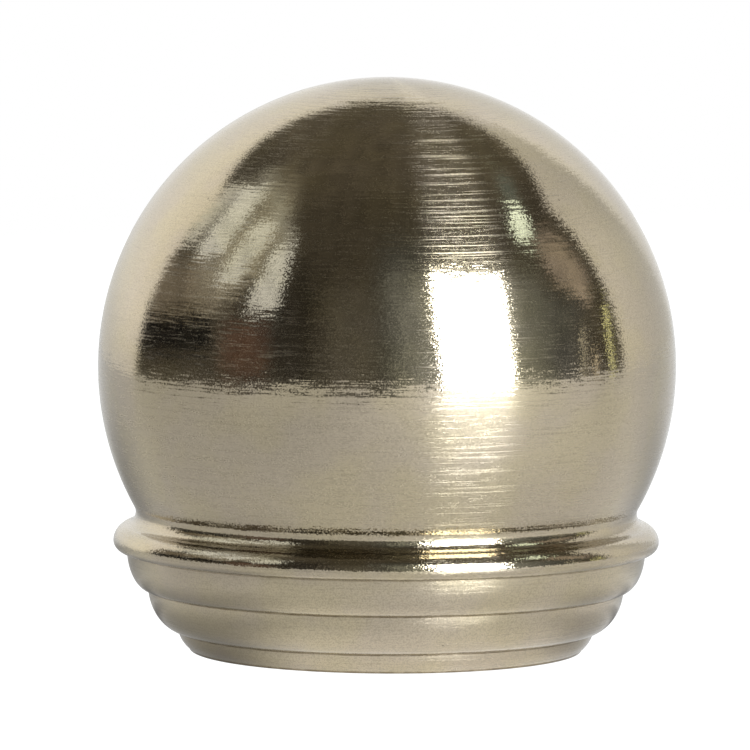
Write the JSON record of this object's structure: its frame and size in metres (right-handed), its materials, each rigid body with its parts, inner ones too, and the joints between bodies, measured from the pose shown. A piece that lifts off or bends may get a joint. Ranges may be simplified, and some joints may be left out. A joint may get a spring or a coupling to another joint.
{
  "type": "curtain rod finial",
  "caption": "Ball finial that caps the end of a round curtain rod, with a bead ring, stepped tiers and a blind socket in its flat underside.",
  "frame": {"origin": "centre of the flat underside, on the turning axis", "axes": "+Z along the turning axis, from the underside to the top of the ball"},
  "size_m": [0.05, 0.05, 0.0497],
  "materials": {
    "satin_nickel": "warm satin nickel plate over a turned surface with fine rings round the axis"
  },
  "bodies": {
    "root": {"ball_finial": "satin_nickel"}
  },
  "joints": []
}
